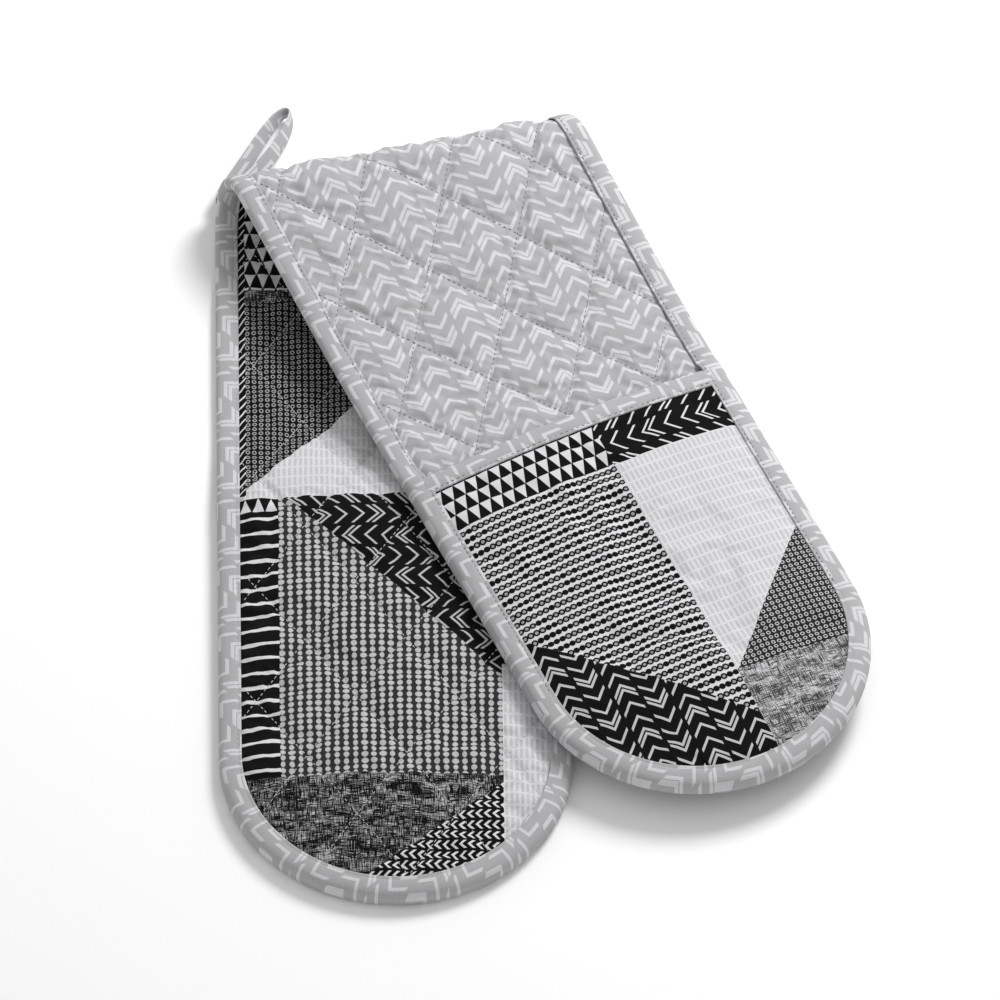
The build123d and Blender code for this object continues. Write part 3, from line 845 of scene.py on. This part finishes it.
def from_middle(field, pitch):
    """How far past the middle of its cell a point is, for cells of one pitch: below 0 before it."""
    return (field * (1 / pitch)).fract().math("SUBTRACT", 0.5) * pitch


def field_length(x, y):
    return (x * x + y * y).math("SQRT")


def joined(x, y):
    """Two fields as one vector."""
    node = x.tree.nodes.new("ShaderNodeCombineXYZ")
    x.tree.links.new(x.socket, node.inputs[0])
    x.tree.links.new(y.socket, node.inputs[1])
    return node.outputs[0]


def cell_random(x, y, x_pitch, y_pitch):
    """A random number for each cell of a lattice."""
    white = x.tree.nodes.new("ShaderNodeTexWhiteNoise")
    white.noise_dimensions = "2D"
    cell = joined((x * (1 / x_pitch)).floor(), (y * (1 / y_pitch)).floor())
    x.tree.links.new(cell, white.inputs["Vector"])
    return Field(x.tree, white.outputs["Value"])


def cloud(x, y, x_scale, y_scale, detail=2.0):
    """Smooth random value from 0 to 1, with lumps of its own scale each way."""
    lumps = x.tree.nodes.new("ShaderNodeTexNoise")
    lumps.noise_dimensions = "2D"
    lumps.inputs["Scale"].default_value = 1.0
    lumps.inputs["Detail"].default_value = detail
    place = joined(x * (1 / x_scale), y * (1 / y_scale))
    x.tree.links.new(place, lumps.inputs["Vector"])
    return Field(x.tree, lumps.outputs["Fac"])


# Printed patterns, in millimetres on the flat cloth. Each gives the brightness of the cloth.
BLACK = 0.004
SPOT_GROUND = 0.028
SPOT_JOINT = 0.13  # between the spots of a column
SPOT_GREY = 0.47
WHITE = 0.62
LINE_WHITE = 0.66
GRID_MARK = 0.49
PALE_MARK = 0.58
GREY_GROUND = 0.385
TRIANGLE_WIDTH, TRIANGLE_HEIGHT = 6.2, 8.1
BEAD_PITCH = (3.1, 4.6)
SPOT_PITCH = (4.35, 3.5)
RING_PITCH = (3.1, 2.95)
RING_RADIUS = 0.82
GRID_PITCH = (2.55, 6.6)


def chevrons(x, y, column, line, ground, mark):
    """Columns of arrowheads, up and down by turns, with a closer pair in each period."""
    period = column * 2.06
    number = (x * (0.5 / column)).floor() * 2
    odd = (x * (1 / column)).floor() - number
    off = from_middle(x, column).abs()
    lean = off * (odd * -2 + 1)
    phase = ((y - lean + odd * (0.7 * column)) * (1 / period)).fract() * period
    ink = None
    for place in (0.09, 0.325, 0.95, 1.6):
        bar = (phase - place * column).abs().below(line * 0.7)
        ink = bar if ink is None else ink.either(bar)
    ink = ink.both(off.below(0.43 * column))
    return other_field(x, ground).mix(mark, ink)


def triangles(x, y):
    """Rows of white triangles on black, each row half a triangle along from the last."""
    row = (y * (1 / TRIANGLE_HEIGHT)).floor()
    shift = (row * 0.5).fract()
    off = ((x * (1 / TRIANGLE_WIDTH) + shift).fract() - 0.5).abs()
    down = (y * (1 / TRIANGLE_HEIGHT)).fract()
    inside = (off + down * 0.455).below(0.45, 0.03).both(down.below(0.97, 0.03))
    return other_field(x, BLACK).mix(WHITE, inside)


def beads(x, y):
    """Strings of rings and full beads, black on white."""
    cx, cy = from_middle(x, BEAD_PITCH[0]), from_middle(y, BEAD_PITCH[1])
    radius = field_length(cx, cy)
    pick = cell_random(x, y, *BEAD_PITCH)
    full = pick.below(0.36, 0.01)
    size = pick * 0.3 + 1.42
    hollow = radius.below(size - 0.85).both(full * -1 + 1)
    ring = radius.below(size + 0.1).both(hollow * -1 + 1)
    string = cy.abs().below(0.5).both(radius.below(1.0) * -1 + 1)
    ground = other_field(x, WHITE).mix(0.3, hollow)
    return ground.mix(BLACK, ring.either(string))


def blobs(x, y):
    """Columns of pale rounded spots on dark grey."""
    cx, cy = from_middle(x, SPOT_PITCH[0]), from_middle(y, SPOT_PITCH[1])
    pick = cell_random(x, y, *SPOT_PITCH)
    wide = cx * (pick * 0.3 + 0.5)
    tall = cy * 0.62
    spot = field_length(wide, tall).below(0.88)
    joint = cx.abs().below(0.55, 0.3)
    return other_field(x, SPOT_GROUND).mix(SPOT_JOINT, joint).mix(SPOT_GREY, spot)


def rings(x, y, ground, mark):
    """Small rings in rows and columns."""
    cx, cy = from_middle(x, RING_PITCH[0]), from_middle(y, RING_PITCH[1])
    radius = field_length(cx, cy)
    return other_field(x, ground).mix(mark, (radius - RING_RADIUS).abs().below(0.24))


def pale_grid(x, y):
    """Rows of light grey bars on white."""
    cx, cy = from_middle(x, GRID_PITCH[0]).abs(), from_middle(y, GRID_PITCH[1]).abs()
    bar = cx.below(0.72, 0.3).both(cy.below(2.75, 0.3))
    return other_field(x, WHITE).mix(GRID_MARK, bar)


def crosshatch(x, y, ground, mark, share):
    """Short streaks both ways, as in a rough weave."""
    across = cloud(x, y, 6.0, 0.34)
    along = cloud(x, y, 0.34, 6.0)
    patches = cloud(x, y, 14.0, 5.0)
    streak = across.math("MINIMUM", along) + (patches - 0.5) * 0.3
    return other_field(x, ground).mix(mark, streak.below(share, 0.04) * -1 + 1)


def stripes(x, y):
    """Uneven pale lines across, on black."""
    wobble = cloud(x, y, 9.0, 4.0) * 1.6
    line = from_middle(y + wobble + 3.0, 8.4).abs().below(0.95)
    return other_field(x, BLACK).mix(LINE_WHITE, line)


def small_chevrons(x, y):
    """Rows of small pale arrowheads on black."""
    row = from_middle(y, 5.6).abs()
    mark = from_middle(x - row * 1.1, 4.0).abs().below(0.75).both(row.below(2.1))
    return other_field(x, BLACK).mix(LINE_WHITE, mark)


def dashes(x, y):
    """Slanting pale lines on black."""
    return other_field(x, BLACK).mix(LINE_WHITE, from_middle(y + x * 1.3, 5.0).abs().below(0.6))


# Borders between the panel's patches: distances from the strip's middle, and for the sides from its
# centre line. A slanting border has its slope, and its distance where it meets that line.
NEAR_TRIANGLES_END = 66
NEAR_HATCH_END = 72
NEAR_GRID_START = 120
DASHES_SIDE, DASHES_END = -70.8, 195
FAR_START = 198
FAR_CHEVRONS_SLOPE, FAR_CHEVRONS_END = 1.067, 253.3
LEFT_SIDE, LEFT_STRIPES_START = -55.5, 206
TIP_START = 365.5
TIP_CHEVRONS_SLOPE, TIP_CHEVRONS_START = 0.78, 411
RIGHT_SIDE, RIGHT_GRID_START = 51, 300

# and between the pocket's
POCKET_SPLIT = 9
POCKET_TRIANGLES_END = 243.3
POCKET_BAND_END = 244
POCKET_CHEVRONS_SLOPE, POCKET_CHEVRONS_START = 1.048, 394.6
POCKET_RINGS_SLOPE, POCKET_RINGS_START = 1.06, 388.5
POCKET_HATCH_START = 378.5


def patchwork(t, s):
    """The printed panel: patches between straight borders. s is the distance from the strip's middle."""
    ring_patch = rings(t, s, 0.006, 0.36)
    grid_patch = pale_grid(t, s)
    near = triangles(t, s).mix(crosshatch(t, s, BLACK, 0.4, 0.5), more(s, NEAR_TRIANGLES_END))
    near = near.mix(ring_patch, more(s, NEAR_HATCH_END))
    near = near.mix(grid_patch, more(s + t, NEAR_GRID_START))
    near = near.mix(dashes(t, s), t.below(DASHES_SIDE).both(s.below(DASHES_END)))
    arrows = chevrons(s + 7.5, t, 12.5, 1.0, BLACK, 0.45)
    far = blobs(t, s).mix(arrows, (s - t * FAR_CHEVRONS_SLOPE).below(FAR_CHEVRONS_END))
    left = triangles(t, s * -1 + LEFT_STRIPES_START).mix(stripes(t, s), more(s, LEFT_STRIPES_START))
    far = far.mix(left, t.below(LEFT_SIDE))
    in_corner = more(s + t * TIP_CHEVRONS_SLOPE, TIP_CHEVRONS_START)
    tip = crosshatch(t, s, BLACK, 0.5, 0.525).mix(small_chevrons(t, s), in_corner)
    far = far.mix(tip, more(s, TIP_START))
    far = far.mix(grid_patch, more(t, RIGHT_SIDE).both(more(s, RIGHT_GRID_START)))
    return near.mix(far, more(s, FAR_START))


def pocket_patchwork(t, s):
    """The printed pocket, cut from another place of the same cloth."""
    arrows = chevrons(t + 1.0, s, 12.5, 1.25, BLACK, 0.5)
    left = beads(t, s).mix(arrows, more(s - t * POCKET_CHEVRONS_SLOPE, POCKET_CHEVRONS_START))
    in_corner = more(s + t * POCKET_RINGS_SLOPE, POCKET_RINGS_START)
    right = pale_grid(t, s).mix(rings(t, s, 0.018, 0.5), in_corner)
    right = right.mix(crosshatch(t, s, 0.05, 0.55, 0.475), more(s, POCKET_HATCH_START))
    right = chevrons(s - 224.6, t, 14.0, 0.95, BLACK, WHITE).mix(right, more(s, POCKET_BAND_END))
    left = triangles(t, s).mix(left, more(s, POCKET_TRIANGLES_END))
    return left.mix(right, more(t, POCKET_SPLIT))


def more(field, edge):
    """1 where a value is above an edge."""
    return field.math("MULTIPLY_ADD", 1 / SOFT, 0.5 - edge / SOFT, clamp=True)


def flat_fields(tree):
    """Millimetres across and along the flat cloth."""
    flat = tree.nodes.new("ShaderNodeUVMap")
    flat.uv_map = "flat"
    parts = tree.nodes.new("ShaderNodeSeparateXYZ")
    tree.links.new(flat.outputs[0], parts.inputs[0])
    return Field(tree, parts.outputs[0]) * 1000.0, Field(tree, parts.outputs[1]) * 1000.0


def cloth_material(name, brightness_of, weave=0.8, tint=(1.0, 1.0, 1.02)):
    """Woven cotton: a printed brightness, thread by thread variation, soft sheen and weave relief."""
    material = bpy.data.materials.new(name)
    material.use_nodes = True
    tree = material.node_tree
    shader = tree.nodes["Principled BSDF"]
    x, y = flat_fields(tree)
    brightness = brightness_of(x, y)
    warp = (x * (2 * math.pi / weave)).math("SINE")
    weft = (y * (2 * math.pi / weave)).math("SINE")
    threads = warp * 0.4 + weft * 0.6
    speckle = cloud(x, y, 0.8, 0.8)
    fade = cloud(x, y, 30.0, 30.0)
    varied = brightness * (speckle * 0.2 + fade * 0.08 + threads * 0.07 + 0.86)
    color = tree.nodes.new("ShaderNodeCombineColor")
    for channel, share in enumerate(tint):
        tree.links.new((varied * share).socket, color.inputs[channel])
    tree.links.new(color.outputs[0], shader.inputs["Base Color"])
    shader.inputs["Roughness"].default_value = 0.92
    shader.inputs["Specular IOR Level"].default_value = 0.1
    shader.inputs["Sheen Weight"].default_value = 0.02
    shader.inputs["Sheen Roughness"].default_value = 0.5
    bump = tree.nodes.new("ShaderNodeBump")
    bump.inputs["Strength"].default_value = 0.5
    bump.inputs["Distance"].default_value = 0.00012
    tree.links.new((threads * 0.5 + speckle).socket, bump.inputs["Height"])
    tree.links.new(bump.outputs[0], shader.inputs["Normal"])
    return material


def grey_print(x, y):
    return chevrons(x + 21.3, y - 1.0, 14.0, 1.75, GREY_GROUND, PALE_MARK)


def bias_print(x, y):
    """The grey cloth cut on the bias."""
    return grey_print((x + y) * 0.7071, (y - x) * 0.7071)


def panel_print(x, y):
    """The patchwork on both arms, turned half round from one to the other."""
    flip = more(y, 0.0) * -2 + 1
    return patchwork(x * flip, y.abs())


def pocket_print(x, y):
    flip = more(y, 0.0) * 2 - 1
    return pocket_patchwork(x * flip, y.abs())


def plain(level):
    """A print of one brightness."""

    def brightness(x, y):
        return other_field(x, level)

    return brightness


# ---- stage ----
FLOOR_SIZE = 4.0
FLOOR_DROP = 0.2 * MM  # the floor lies this far under the table's height
FLOOR_GREY = 0.94
WORLD_STRENGTH = 0.62
KEY_PLACE = (0.6, 0.8, 1.15)
KEY_SIZE = 0.6
KEY_POWER = 18.5


def build_floor():
    line = np.linspace(-FLOOR_SIZE / 2, FLOOR_SIZE / 2, 5)
    x, y = np.meshgrid(line, line)
    points = np.stack([x, y, 0 * x - FLOOR_DROP], -1)
    mesh = bpy.data.meshes.new("floor")
    mesh.from_pydata(points.reshape(-1, 3).tolist(), [], grid_faces(*x.shape))
    floor = bpy.data.objects.new("floor", mesh)
    bpy.context.scene.collection.objects.link(floor)
    return floor


def build_key_light():
    light = bpy.data.lights.new("key", "AREA")
    light.shape = "DISK"
    light.size = KEY_SIZE
    light.energy = KEY_POWER
    lamp = bpy.data.objects.new("key", light)
    lamp.location = KEY_PLACE
    lamp.rotation_euler = (-Vector(KEY_PLACE)).to_track_quat("-Z", "Y").to_euler()
    bpy.context.scene.collection.objects.link(lamp)


def build_stage():
    floor = build_floor()
    material = bpy.data.materials.new("pale_floor")
    material.use_nodes = True
    shader = material.node_tree.nodes["Principled BSDF"]
    shader.inputs["Base Color"].default_value = (FLOOR_GREY, FLOOR_GREY, FLOOR_GREY, 1)
    shader.inputs["Roughness"].default_value = 0.9
    floor.data.materials.append(material)
    world = bpy.data.worlds.new("studio")
    world.use_nodes = True
    background = world.node_tree.nodes["Background"]
    background.inputs["Color"].default_value = (1, 1, 1, 1)
    background.inputs["Strength"].default_value = WORLD_STRENGTH
    bpy.context.scene.world = world
    build_key_light()
    bpy.context.scene.view_settings.view_transform = "Standard"


CAMERA_AZIMUTH = math.radians(-0.72)
CAMERA_ELEVATION = math.radians(52.8)
CAMERA_DISTANCE = 12.0
VIEW_WIDTH = 0.482393  # the picture spans this much where the camera looks
LOOKED_AT = (-0.0198, 0.0049, 0.0)


def build_camera():
    camera = bpy.data.cameras.new("camera")
    camera.sensor_width = 36
    camera.lens = camera.sensor_width * CAMERA_DISTANCE / VIEW_WIDTH
    camera.clip_start = 1.0
    camera.clip_end = 40.0
    eye = bpy.data.objects.new("camera", camera)
    level = math.cos(CAMERA_ELEVATION)
    back = Vector((math.sin(CAMERA_AZIMUTH), -math.cos(CAMERA_AZIMUTH), 0)) * level
    back.z = math.sin(CAMERA_ELEVATION)
    eye.location = Vector(LOOKED_AT) + back * CAMERA_DISTANCE
    eye.rotation_mode = "QUATERNION"
    eye.rotation_quaternion = (-back).to_track_quat("-Z", "Y")
    bpy.context.scene.collection.objects.link(eye)
    bpy.context.scene.camera = eye


# ---- build ----
grey_cloth = cloth_material("grey_print_cotton", grey_print)
tape_cloth = cloth_material("bias_tape_cotton", bias_print)
panel_cloth = cloth_material("patchwork_cotton", panel_print)
pocket_cloth = cloth_material("patchwork_pocket_cotton", pocket_print)
lining_cloth = cloth_material("plain_lining_cotton", plain(0.6))
grey_thread = cloth_material("grey_sewing_thread", plain(0.2), weave=0.3)
pale_thread = cloth_material("pale_sewing_thread", plain(0.6), weave=0.3)

trees = {
    "grey": strip_cover(
        "grey", GREY_PUFF, 3, grey_cloth, ["grey_panel", "wadding"]
    ),
    "print": strip_cover("print", PRINT_PUFF, 5, panel_cloth, ["print_panel"]),
}
for arm, side in (("lower", -1), ("upper", 1)):
    pocket_cover(arm, side, "face", pocket_cloth, ["pocket_face", "pocket_wadding"])
    pocket_cover(arm, side, "lining", lining_cloth, ["pocket_lining"])
    mouth_binding(arm, side, tape_cloth)
edge_bindings(tape_cloth)
sew(trees, grey_thread, pale_thread)
hanging_loop(tape_cloth)
loop_root(tape_cloth, pale_thread)
build_stage()
build_camera()
